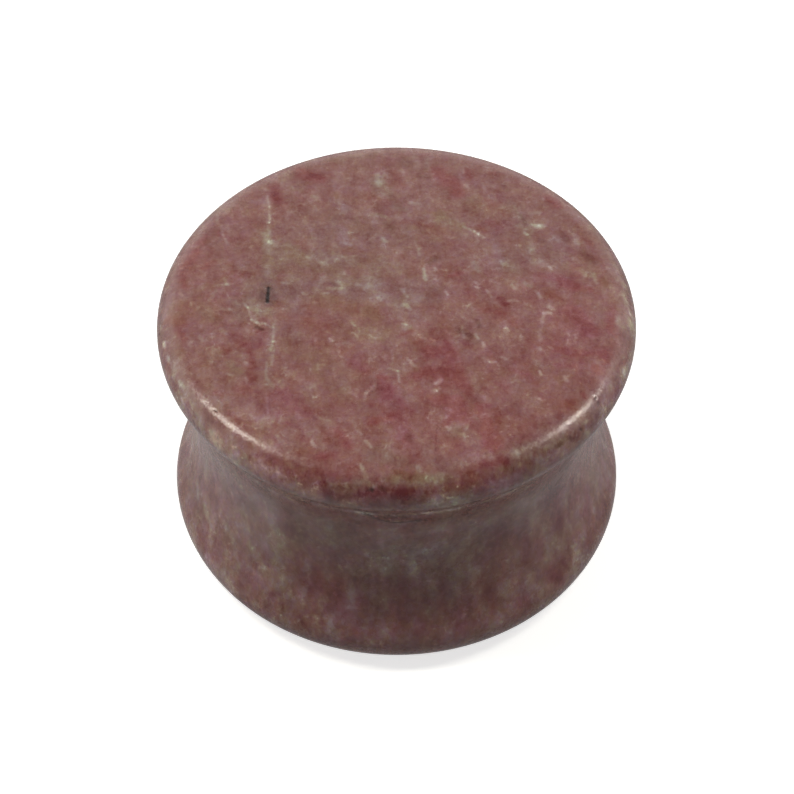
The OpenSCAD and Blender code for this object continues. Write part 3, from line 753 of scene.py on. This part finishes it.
    (7.0, 6.13, 7.6, 4.68, 0.21, -0.14, -0.4, -0.2), (-9.7, 6.05, -8.9, 4.4, 0.21, -0.12, -0.3, -0.3),
    (58.1, 8.04, 60.0, 6.36, 0.21, -0.1, -0.3, -0.3), (79.2, 4.24, 75.1, 3.57, 0.21, -0.08, -0.2),
    # Mauve drift in the middle of the flank, and a darker wine red below
    (20.0, 10.02, 36.5, 7.47, 0.74, 0, -0.1, -0.9), (-15.0, 5.15, -13.2, 4.02, 0.63, -0.06, -0.4, -0.4),
    (-12.5, 8.67, 14.8, 8.26, 0.85, 0.04, 0.6, -0.4), (-16.8, 3.3, 16.2, 3.21, 1.16, 0, -0.3, -0.5),
    # Painted light: salmon and tan lightening round the side of the upper lip and just under it, where
    # more light falls on it
    (-60, 14.95, -46, 14.95, 0.7, 0.25, -0.2, 0.3), (-46, 14.95, -32, 14.95, 0.7, 0.4, -0.4, 0.3),
    (-32, 14.9, -19, 14.85, 0.65, 0.24, -1.4, 0.1), (-19, 14.7, -8, 14.7, 0.5, 0.15, -0.9),
    (8, 14.7, 27, 14.7, 0.45, 0.28, -0.5), (40, 14.95, 56, 15, 0.5, 0.17, -0.3, 0.2),
    (58, 15, 70, 15, 0.5, 0.34, -0.4, 0.2), (70, 15, 86, 15, 0.45, 0.3, -0.2, 0.2),
    (8, 15.2, 24, 15.2, 0.35, 0.04, -0.2), (-10, 14.6, 10, 14.6, 0.4, 0.08, -0.2),
    (-28, 13.3, -8, 13.2, 0.5, 0.34, -0.1), (8, 13.3, 28, 13.2, 0.5, 0.44, -0.2),
    (-8, 13.2, 8, 13.2, 0.4, 0.22, 0.2), (-40, 12.3, -28, 12, 0.5, 0.25, -0.1),
    # Painted light and shade: broad lighter and darker patches down the flank, where the light falls more
    # and less strongly
    (-38, 8.6, -35, 6.6, 0.9, 0.19, 0.1), (-3, 7, 4, 7, 0.5, 0.3, 0.5), (-8, 5.6, 8, 5.4, 0.6, 0.09, 0),
    (-10, 3.2, 10, 3, 0.7, 0.1, -0.1), (-55, 2.4, -42, 2.2, 0.5, 0.18, 0.2),
    (50, 10.5, 50, 8.3, 1.0, -0.22, 0), (50, 8.3, 50, 6, 1.0, -0.2, 0), (-50, 7.5, -50, 4, 0.8, 0.09, 0),
    (50, 4.6, 50, 3.6, 0.7, -0.12, -0.1), (-82, 5.2, -78, 3.8, 0.8, -0.14, 0),
    (-37, 2.2, -33, 2, 0.5, 0.2, 0),
)


class Place(Enum):
    """How a pattern reads its place in the stone."""

    STRAIGHT = "as it is"
    BENT = "a little bent, so that nothing has an even edge"
    SHEETS = "bent and drawn out into steep sheets from front to back"


@dataclass(frozen=True)
class Lumps:
    """One layer of noise in the stone.

    Its size is that of the largest lumps in mm. The detail is how many finer layers it has,
    rough is the strength of each against the one before, and the gain multiplies the noise.
    """

    place: Place
    size_mm: float
    detail: float
    rough: float
    gain: float


@dataclass(frozen=True)
class Rhodonite:
    """Rhodonite, a pink manganese stone, lapped and polished to a soft gloss.

    It is close and opaque, so the light stays near its surface. What the eye gets is a low
    contrast mottle of deep red, rose brown and pale grey that runs in steep sheets from front to
    back, with broken pale lines where cracks have healed, small pale flecks that are partly pale
    mineral and partly glints painted into the colour where grains lie flat in the polish, and a
    highlight that the grain softens.
    """

    # Ground colours, from no pale mineral to nothing else
    ground: tuple[tuple[float, str], ...] = (
        (0.0, "#6a3232"), (0.15, "#784643"), (0.42, "#8b625f"), (0.6, "#997774"),
        (0.74, "#a68c87"), (0.87, "#b6a39d"), (1.0, "#d2c3bb"),
    )
    black: str = "#2b2120"
    # What the tints multiply the ground's red, green and blue by
    rose: tuple[float, float, float] = (1.03, 0.78, 0.85)
    grey_green: tuple[float, float, float] = (0.91, 1.06, 0.97)
    mauve: tuple[float, float, float] = (0.98, 0.96, 1.18)
    tan: tuple[float, float, float] = (0.99, 1.00, 0.80)
    # The bend's waves and reach in mm, and how much the sheets are drawn out
    wave_mm: float = 0.7
    bend_mm: float = 0.55
    sheet_scale: tuple[float, float, float] = (1.0, 0.65, 0.5)
    # Pale mineral: its mean, its lumps, and the size in mm and tone of grains with sharp edges
    veil_mean: float = 0.355
    mottle: tuple[Lumps, ...] = (
        Lumps(Place.SHEETS, 1.1, 4.0, 0.85, 1.12), Lumps(Place.STRAIGHT, 0.2, 1.0, 0.8, 0.20),
    )
    grains: tuple[tuple[float, float], ...] = ((1.3, 0.09), (0.4, 0.06))
    # Small pale flecks in loose swarms, partly pale mineral and partly painted glints where grains lie
    # flat in the polish
    fleck_and_glint: Lumps = Lumps(Place.STRAIGHT, 0.32, 2.0, 0.6, 4.0)
    fleck_and_glint_level: float = -0.42
    swarm: Lumps = Lumps(Place.STRAIGHT, 1.6, 1.0, 0.5, 3.0)
    swarm_level: float = 0.5
    fleck_and_glint_gain: float = 0.6
    # Short pale curved lines where the grains' joints have healed, along the middle of a noise
    joint: Lumps = Lumps(Place.BENT, 1.1, 2.0, 0.6, 1.0)
    joint_edges: tuple[float, float] = (0.036, 0.004)
    healed: Lumps = Lumps(Place.BENT, 0.7, 1.0, 0.5, 6.0)
    healed_level: float = -0.2
    joint_gain: float = 0.20
    # Rose to grey green, and mauve to tan
    hues: tuple[Lumps, ...] = (Lumps(Place.SHEETS, 1.8, 4.0, 0.9, 2.6),)
    tones: tuple[Lumps, ...] = (
        Lumps(Place.BENT, 1.6, 4.0, 0.85, 4.2), Lumps(Place.STRAIGHT, 0.3, 2.0, 0.85, 3.0),
    )
    # What changes down the side: two heights in mm, and the value at each
    contrast: tuple[float, float, float, float] = (15.88, 15.3, 1.0, 1.6)
    lively: tuple[float, float, float, float] = (15.8, 14.8, 1.0, 2.5)
    olive: tuple[float, float, float, float] = (14.6, 13.0, 0.0, 0.25)
    wear: tuple[float, float, float, float] = (14.3, 13.5, 1.0, 0.15)
    # The gloss of a hard polish, with the stone's own IOR
    ior: float = 1.73
    specular: float = 0.4
    roughness: float = 0.27
    haze: tuple[Lumps, ...] = (Lumps(Place.STRAIGHT, 0.5, 2.0, 0.6, 0.28),)
    # The polish follows grains of a few hundredths of a mm, drawn 0.16 mm wide so that they show
    polish: tuple[Lumps, ...] = (
        Lumps(Place.STRAIGHT, 0.16, 1.0, 0.6, 1.0), Lumps(Place.STRAIGHT, 0.9, 1.0, 0.6, 2.0),
    )
    polish_depth: float = 0.010 * MM

    def places(self, tree: bpy.types.NodeTree) -> dict[Place, bpy.types.Node]:
        """Reads the place in the stone in mm, in each way that a pattern needs.

        Args:
            tree: The material's nodes.

        Returns:
            The node that gives each kind of place.
        """
        place = add(tree, "TexCoord").outputs["Object"]
        straight = add(tree, "Mapping", {"Vector": place, "Scale": (1 / MM,) * 3})
        waves = add(
            tree, "TexNoise",
            {"Vector": straight, "Scale": 1 / self.wave_mm, "Detail": 3.0, "Roughness": 0.65},
        )
        centred = add(tree, "VectorMath", {0: waves.outputs["Color"], 1: (0.5,) * 3}, operation="SUBTRACT")
        bent = add(
            tree, "VectorMath", {0: centred, 1: (self.bend_mm,) * 3, 2: straight}, operation="MULTIPLY_ADD"
        )
        sheets = add(tree, "Mapping", {"Vector": bent, "Scale": self.sheet_scale})
        return {Place.STRAIGHT: straight, Place.BENT: bent, Place.SHEETS: sheets}

    def layered(
        self, tree: bpy.types.NodeTree, places: dict[Place, bpy.types.Node], layers: tuple[Lumps, ...],
        level: float = 0.0,
    ) -> bpy.types.Node:
        """Adds up layers of noise, each centred on zero.

        Args:
            tree: The material's nodes.
            places: The node that gives each kind of place.
            layers: The layers.
            level: What is added to their sum.

        Returns:
            The node that gives the sum.
        """
        total = level - sum(layer.gain for layer in layers) / 2
        for layer in layers:
            lumps = add(
                tree, "TexNoise",
                {
                    "Vector": places[layer.place], "Scale": 1 / layer.size_mm,
                    "Detail": layer.detail, "Roughness": layer.rough,
                },
            )
            total = add(tree, "Math", {0: lumps, 1: layer.gain, 2: total}, operation="MULTIPLY_ADD")
        return total

    def pale_mineral_and_glints(
        self, tree: bpy.types.NodeTree, places: dict[Place, bpy.types.Node]
    ) -> bpy.types.Node:
        """Adds up the lumps, the grains, the flecks and the healed joints.

        Args:
            tree: The material's nodes.
            places: The node that gives each kind of place.

        Returns:
            The node that gives how much pale mineral and painted glint there is, against the mean.
        """
        veil = self.layered(tree, places, self.mottle, -sum(gain for _, gain in self.grains) / 2)
        for size_mm, gain in self.grains:
            cells = add(tree, "TexVoronoi", {"Vector": places[Place.SHEETS], "Scale": 1 / size_mm})
            tone = add(tree, "SeparateXYZ", {"Vector": cells.outputs["Color"]})
            veil = add(tree, "Math", {0: tone, 1: gain, 2: veil}, operation="MULTIPLY_ADD")
        # Pale flecks, partly pale mineral and partly painted glints where grains lie flat in the polish
        fleck_and_glint = self.layered(tree, places, (self.fleck_and_glint,), self.fleck_and_glint_level)
        swarm = self.layered(tree, places, (self.swarm,), self.swarm_level)
        healed = self.layered(tree, places, (self.healed,), self.healed_level)
        for part in (fleck_and_glint, swarm, healed):
            part.use_clamp = True
        middle = add(tree, "Math", {0: self.layered(tree, places, (self.joint,))}, operation="ABSOLUTE")
        outer, inner = self.joint_edges
        joint = add(tree, "MapRange", {"Value": middle, "From Min": outer, "From Max": inner})
        for shape, here, gain in ((fleck_and_glint, swarm, self.fleck_and_glint_gain), (joint, healed, self.joint_gain)):
            lit = add(tree, "Math", {0: shape, 1: here}, operation="MULTIPLY")
            veil = add(tree, "Math", {0: lit, 1: gain, 2: veil}, operation="MULTIPLY_ADD")
        return veil

    def colour(
        self, tree: bpy.types.NodeTree, veil: bpy.types.Node, hue: bpy.types.Node, tone: bpy.types.Node
    ) -> bpy.types.NodeSocket:
        """Turns the pale mineral into the ground's colour, and tints it.

        Args:
            tree: The material's nodes.
            veil: How much pale mineral there is.
            hue: From -1 for rose to 1 for grey green.
            tone: From -1 for mauve to 1 for tan.

        Returns:
            The colour's socket.
        """
        ramp = add(tree, "ValToRGB", {"Fac": veil})
        elements = ramp.color_ramp.elements
        while len(elements) < len(self.ground):
            elements.new(0.5)
        for element, (position, colour) in zip(elements, self.ground):
            element.position = position
            element.color = linear(colour)
        shade = ramp.outputs["Color"]
        for value, way, tint in (
            (hue, -1.0, self.rose), (hue, 1.0, self.grey_green),
            (tone, -1.0, self.mauve), (tone, 1.0, self.tan),
        ):
            share = add(tree, "Math", {0: value, 1: way}, operation="MULTIPLY", use_clamp=True)
            shade = add(
                tree, "Mix", {0: share, UNDER: shade, OVER: (*tint, 1.0)},
                data_type="RGBA", blend_type="MULTIPLY",
            ).outputs[BLENDED]
        black = add(tree, "Attribute", attribute_name=BLACK).outputs["Fac"]
        return add(
            tree, "Mix", {0: black, UNDER: shade, OVER: linear(self.black)}, data_type="RGBA"
        ).outputs[BLENDED]

    def build(self) -> bpy.types.Material:
        """Makes the material.

        Returns:
            The stone's material.
        """
        material = bpy.data.materials.new("polished_rhodonite")
        material.use_nodes = True
        tree = material.node_tree
        tree.nodes.clear()
        places = self.places(tree)
        height = add(tree, "SeparateXYZ", {"Vector": places[Place.STRAIGHT]}).outputs["Z"]
        contrast, lively, olive, wear = (
            add(
                tree, "MapRange",
                {"Value": height, "From Min": z1, "From Max": z2, "To Min": v1, "To Max": v2},
            )
            for z1, z2, v1, v2 in (self.contrast, self.lively, self.olive, self.wear)
        )
        # The marks on the mesh's points, with painted light and shade on the side among them
        clouds_and_light = add(tree, "Attribute", attribute_name=CLOUDS_AND_LIGHT).outputs["Vector"]
        marks = add(tree, "SeparateXYZ", {"Vector": clouds_and_light})
        veil, hue, tone = (
            add(tree, "Math", {0: pattern, 1: strength, 2: marks.outputs[axis]}, operation="MULTIPLY_ADD")
            for pattern, strength, axis in (
                (self.pale_mineral_and_glints(tree, places), contrast, "X"),
                (self.layered(tree, places, self.hues), lively, "Y"),
                (self.layered(tree, places, self.tones), lively, "Z"),
            )
        )
        veil = add(tree, "Math", {0: veil, 1: self.veil_mean}, operation="ADD")
        tone = add(tree, "Math", {0: tone, 1: olive}, operation="ADD")
        bump = add(
            tree, "Bump",
            {
                "Height": self.layered(tree, places, self.polish), "Strength": wear,
                "Distance": self.polish_depth,
            },
        )
        shader = add(
            tree, "BsdfPrincipled",
            {
                "Base Color": self.colour(tree, veil, hue, tone), "Normal": bump,
                "Roughness": self.layered(tree, places, self.haze, self.roughness),
                "IOR": self.ior, "Specular IOR Level": self.specular,
            },
        )
        add(tree, "OutputMaterial", {"Surface": shader})
        return material


class Role(Enum):
    """What a light is for."""

    LIGHTS_STONE = "it lights the stone and isn't mirrored"
    IN_POLISH = "it is only what the polish mirrors"


@dataclass(frozen=True)
class SoftBox:
    """A light that looks at the plug.

    Its azimuth is in degrees from straight behind the plug, positive to the right, and its
    elevation in degrees above the table.
    """

    name: str
    azimuth: float
    elevation: float
    watts: float
    width: float
    height: float
    role: Role


@dataclass(frozen=True)
class Glow:
    """A glowing part of the studio, round the plug and out of the camera's sight.

    It runs from start to end in degrees from straight behind the plug, positive to the right. One
    with a height is a paper wall. One without is a part of the table that only the polish
    mirrors, darker towards the camera, which shades it.
    """

    name: str
    start: float
    end: float
    glow: float
    height: float = 0.0


@dataclass
class Studio:
    """The pale table, two soft boxes, two lamps, the dim room and the camera."""

    sizes: PlugSizes
    camera_elevation: float = math.radians(49.2)
    camera_distance: float = 109.6 * MM
    focal_px: float = 1968.0
    frame_px: float = 794.0
    sensor_mm: float = 36.0
    clip: tuple[float, float] = (1 * MM, 100.0)
    aim_right: float = 0.027 * MM
    aim_up: float = 0.038 * MM
    table_r: float = 0.9
    cove_r: float = 0.5
    cove_steps: int = 12
    cove_top: float = 1.5
    room_top: float = 1.6
    wall_r: float = 0.4
    # Each layer under the table that the camera sees lies this much lower
    layer_gap: float = 0.05 * MM
    turn_steps: int = 96
    light_away: float = 300 * MM
    room_light: tuple[float, float, float, float] = (1.0, 0.98, 0.96, 1.0)
    room_glow: float = 0.09
    table_glow: float = 0.70
    matt: float = 0.9
    glows: tuple[Glow, ...] = (
        Glow("paper_left", -115, -25, 1.0, 0.28),
        Glow("paper_back", -25, 25, 0.9, 0.36),
        Glow("paper_right", 25, 105, 0.75, 0.34),
        Glow("shine_front", 130, 230, 0.32),
        Glow("shine_left", -130, -20, 0.54),
        Glow("shine_back", -20, 20, 0.42),
        Glow("shine_right", 20, 130, 0.42),
    )
    soft_boxes: tuple[SoftBox, ...] = (
        SoftBox("soft_box_left", -87, 61, 0.44, 70 * MM, 130 * MM, Role.LIGHTS_STONE),
        SoftBox("soft_box_right", 78, 57, 0.345, 70 * MM, 130 * MM, Role.LIGHTS_STONE),
        SoftBox("lamp_left", -83, 49.5, 0.23, 50 * MM, 110 * MM, Role.IN_POLISH),
        SoftBox("lamp_right", 85, 42.5, 0.25, 34 * MM, 90 * MM, Role.IN_POLISH),
    )

    def camera(self) -> None:
        """Places the camera at the photograph's angle."""
        lens = bpy.data.cameras.new("photo_camera")
        lens.sensor_width = self.sensor_mm
        lens.lens = self.focal_px / self.frame_px * self.sensor_mm
        lens.clip_start, lens.clip_end = self.clip
        camera = bpy.data.objects.new("photo_camera", lens)
        e = self.camera_elevation
        back = Vector((0, -math.cos(e), math.sin(e)))
        up = Vector((0, math.sin(e), math.cos(e)))
        aim = Vector((self.aim_right, 0, self.sizes.length / 2)) + up * self.aim_up
        camera.location = aim + back * self.camera_distance
        camera.rotation_mode = "QUATERNION"
        camera.rotation_quaternion = (-back).to_track_quat("-Z", "Y")
        bpy.context.scene.collection.objects.link(camera)
        bpy.context.scene.camera = camera

    def turned(
        self, name: str, outline: list[tuple[float, float]], angle: float = math.tau, start: float = 0.0
    ) -> bpy.types.Object:
        """Makes a stage piece by turning an outline about the upright axis.

        Args:
            name: The object's name.
            outline: Radius and height of each point.
            angle: How far it is turned.
            start: Where it starts, from straight ahead of the camera and clockwise from above.

        Returns:
            The piece, marked as stage.
        """
        bm = bmesh.new()
        verts = [bm.verts.new((r * math.sin(start), r * math.cos(start), z)) for r, z in outline]
        edges = [bm.edges.new(pair) for pair in zip(verts, verts[1:])]
        bmesh.ops.spin(
            bm, geom=verts + edges, cent=(0, 0, 0), axis=(0, 0, -1), angle=angle,
            steps=self.turn_steps, use_merge=angle == math.tau, use_duplicate=False,
        )
        bmesh.ops.remove_doubles(bm, verts=bm.verts[:], dist=MERGE)
        bmesh.ops.recalc_face_normals(bm, faces=bm.faces[:])
        mesh = bpy.data.meshes.new(name)
        bm.to_mesh(mesh)
        bm.free()
        piece = bpy.data.objects.new(name, mesh)
        bpy.context.scene.collection.objects.link(piece)
        return piece

    def paint(self, piece: bpy.types.Object, colour: str, glow: float) -> None:
        """Gives a stage piece a matt colour that may glow.

        Args:
            piece: The stage piece.
            colour: Its sRGB colour.
            glow: Strength of its own light.
        """
        material = bpy.data.materials.new(piece.name)
        material.use_nodes = True
        inputs = material.node_tree.nodes["Principled BSDF"].inputs
        inputs["Base Color"].default_value = linear(colour)
        inputs["Roughness"].default_value = self.matt
        inputs["Specular IOR Level"].default_value = 0.0
        inputs["Emission Color"].default_value = linear("#ffffff")
        inputs["Emission Strength"].default_value = glow
        piece.data.materials.append(material)

    def table(self) -> None:
        """Lays the pale table that the camera sees, and the matt one that lights the stone."""
        cove = [
            (self.table_r + self.cove_r * math.sin(a), self.cove_r - self.cove_r * math.cos(a))
            for a in np.linspace(0, math.pi / 2, self.cove_steps)
        ]
        cove_end = (self.table_r + self.cove_r, self.cove_top)
        flat = [(0.0, 0.0), (self.table_r - self.wall_r, 0.0)]
        seen = self.turned("table_seen", [*flat, *cove, cove_end, (0.0, self.room_top)])
        self.paint(seen, "#dcdcdc", self.table_glow)
        seen.visible_diffuse = False
        seen.visible_glossy = False
        seen.visible_shadow = False
        card = self.turned("table_card", [(0.0, -self.layer_gap), (self.table_r, -self.layer_gap)])
        self.paint(card, "#b4b4b2", 0.0)
        card.visible_camera = False
        card.visible_glossy = False

    def glowing(self, part: Glow) -> None:
        """Adds a glowing part.

        Args:
            part: The part's place and strength.
        """
        low = -2 * self.layer_gap
        outline = [(0.0, low), (self.table_r, low)]
        if part.height:
            outline = [(self.wall_r, 0.0), (self.wall_r, part.height)]
        piece = self.turned(
            part.name, outline, math.radians(part.end - part.start), math.radians(part.start)
        )
        self.paint(piece, "#000000", part.glow)
        piece.visible_camera = False
        piece.visible_diffuse = part.height > 0

    def soft_box(self, box: SoftBox) -> None:
        """Hangs a light.

        Args:
            box: The light's place, size and power.
        """
        light = bpy.data.lights.new(box.name, "AREA")
        light.shape = "RECTANGLE"
        light.size, light.size_y = box.width, box.height
        light.energy = box.watts
        light.color = linear("#fffdf0")[:3]
        lamp = bpy.data.objects.new(box.name, light)
        a, e = math.radians(box.azimuth), math.radians(box.elevation)
        away = Vector((math.sin(a) * math.cos(e), math.cos(a) * math.cos(e), math.sin(e)))
        lamp.location = Vector((0, 0, self.sizes.length)) + away * self.light_away
        lamp.rotation_mode = "QUATERNION"
        lamp.rotation_quaternion = (-away).to_track_quat("-Z", "Y")
        lamp.visible_glossy = box.role is Role.IN_POLISH
        lamp.visible_diffuse = box.role is Role.LIGHTS_STONE
        bpy.context.scene.collection.objects.link(lamp)

    def room(self) -> None:
        """Lights the dim room round the table evenly."""
        world = bpy.data.worlds.new("room")
        world.use_nodes = True
        back = world.node_tree.nodes["Background"]
        back.inputs["Color"].default_value = self.room_light
        back.inputs["Strength"].default_value = self.room_glow
        bpy.context.scene.world = world

    def build(self) -> None:
        """Sets up the whole studio."""
        self.camera()
        self.table()
        for part in self.glows:
            self.glowing(part)
        for box in self.soft_boxes:
            self.soft_box(box)
        self.room()
        view = bpy.context.scene.view_settings
        view.view_transform = "Standard"
        view.look = "None"
        LOG.info("studio: %d glowing parts, %d lights", len(self.glows), len(self.soft_boxes))


def main() -> None:
    """Builds the plug and its studio."""
    logging.basicConfig(level=logging.INFO, format="%(name)s: %(message)s")
    sizes = PlugSizes.from_frame(frame["record"])
    plug = StonePlug(sizes).build()
    plug.data.materials.append(Rhodonite().build())
    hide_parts(NODE)
    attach(plug, "root")
    LOG.info("%s: %d faces", plug.name, len(plug.data.polygons))
    Studio(sizes).build()


if __name__ == "__main__":
    main()
